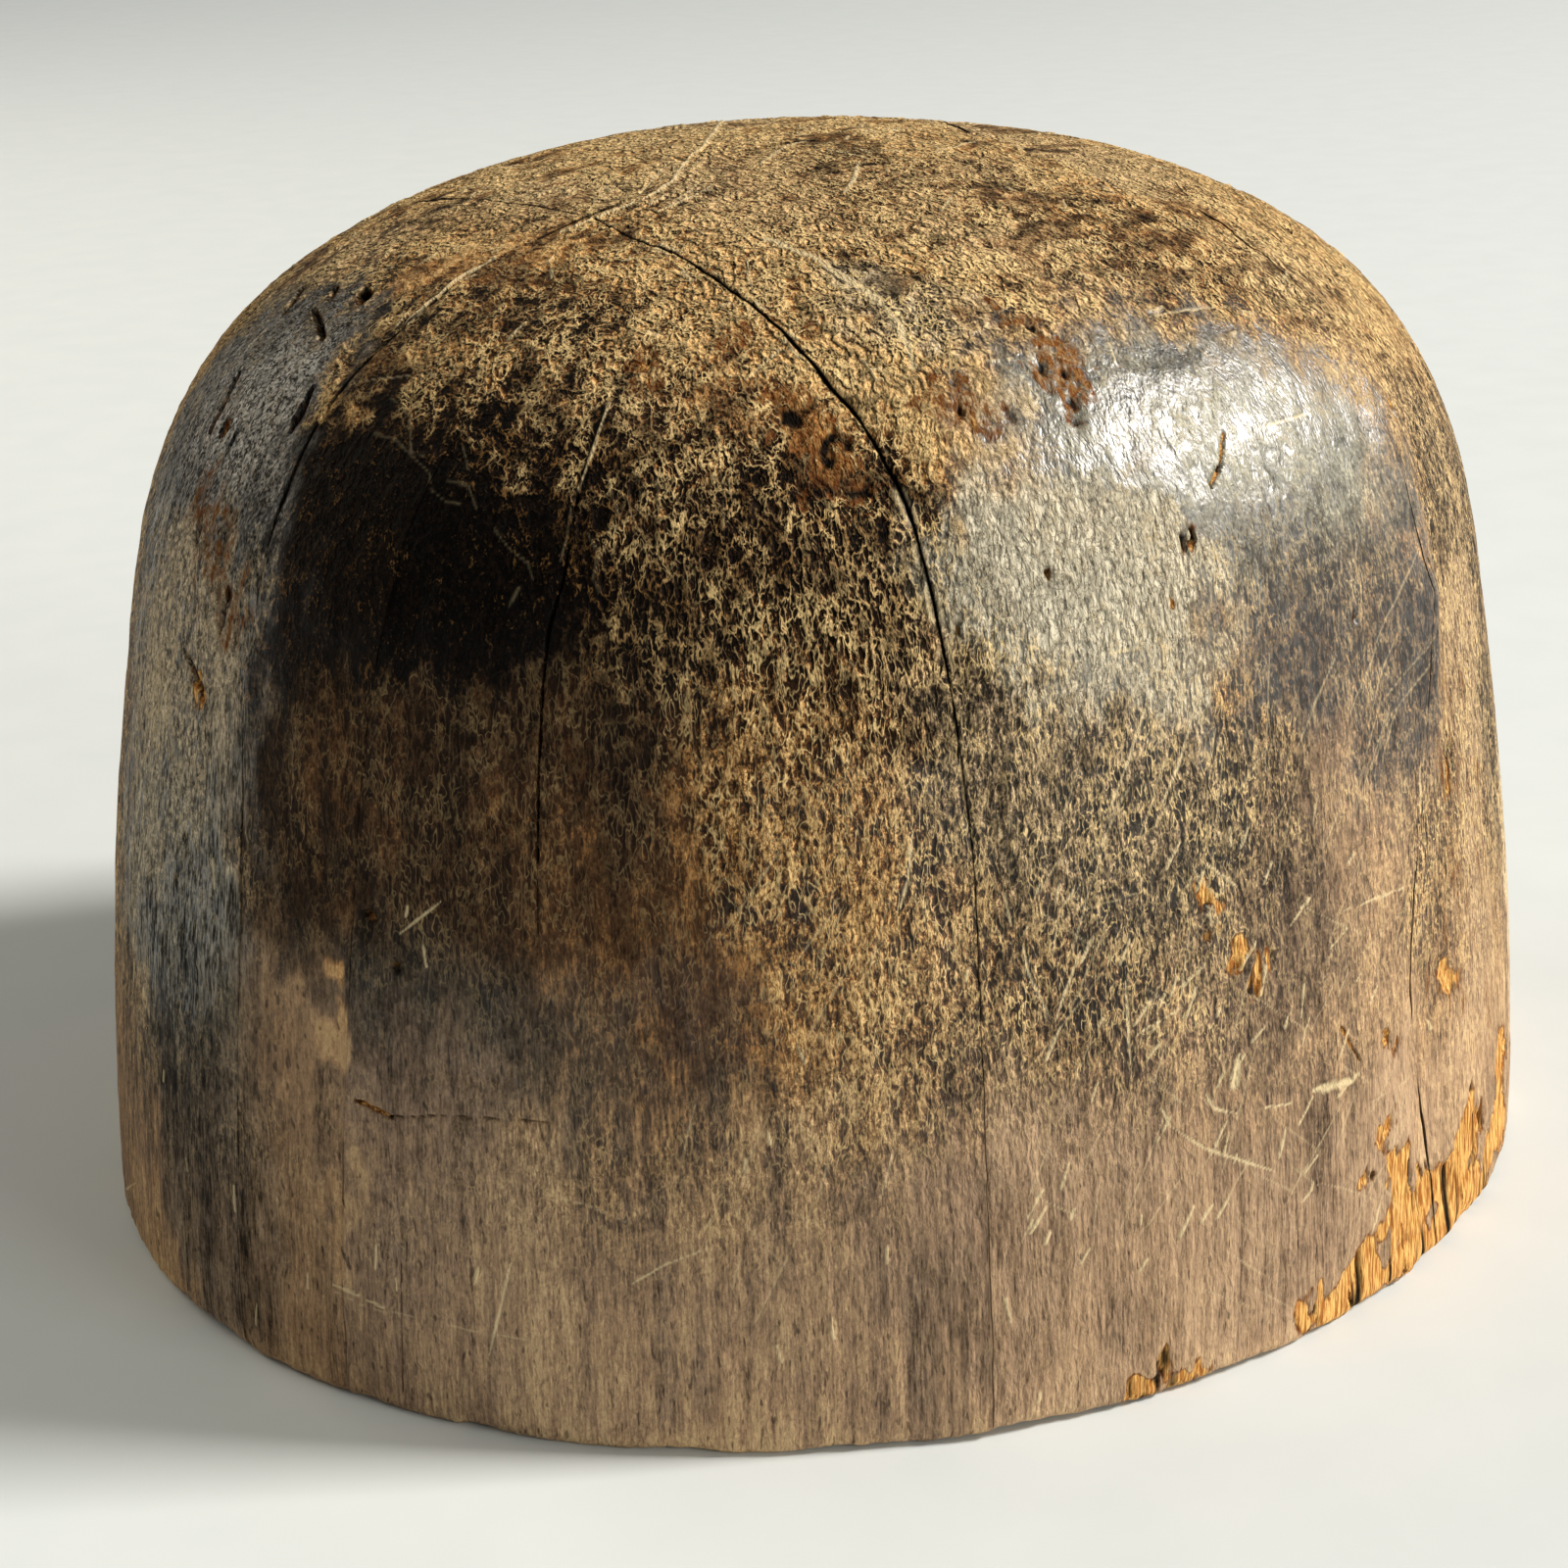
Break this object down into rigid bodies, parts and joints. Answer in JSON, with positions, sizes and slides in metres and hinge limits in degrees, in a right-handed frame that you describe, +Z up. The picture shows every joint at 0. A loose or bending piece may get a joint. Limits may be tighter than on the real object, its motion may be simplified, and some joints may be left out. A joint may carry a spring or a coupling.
{
  "type": "hat block",
  "caption": "Solid wooden crown block over which a hat's crown is steamed and shaped, glued up from upright staves, with a flat foot and a socket for a stand's spindle.",
  "frame": {"origin": "middle of the oval foot, on the surface that the block stands on", "axes": "+Z up through the crown, +X along the long way of the oval, +Y to the block's back"},
  "size_m": [0.19, 0.1766, 0.1287],
  "materials": {
    "dark_varnished_wood": "old dark varnish over close-grained wood, half glossy, worn through in streaks",
    "strip_wood": "brown stained wood, the varnish rubbed thin, satin",
    "worn_brown_wood": "brown wood with crackled varnish at the shoulder, scratched and rubbed below",
    "bare_crown_wood": "bare golden end grain with dark pores and raised fibres, dull"
  },
  "bodies": {
    "root": {"left_front_stave": "dark_varnished_wood", "left_strip_stave": "strip_wood", "left_back_stave": "dark_varnished_wood", "middle_front_stave": "worn_brown_wood", "middle_back_stave": "bare_crown_wood", "right_front_stave": "worn_brown_wood", "right_back_stave": "bare_crown_wood"}
  },
  "joints": []
}
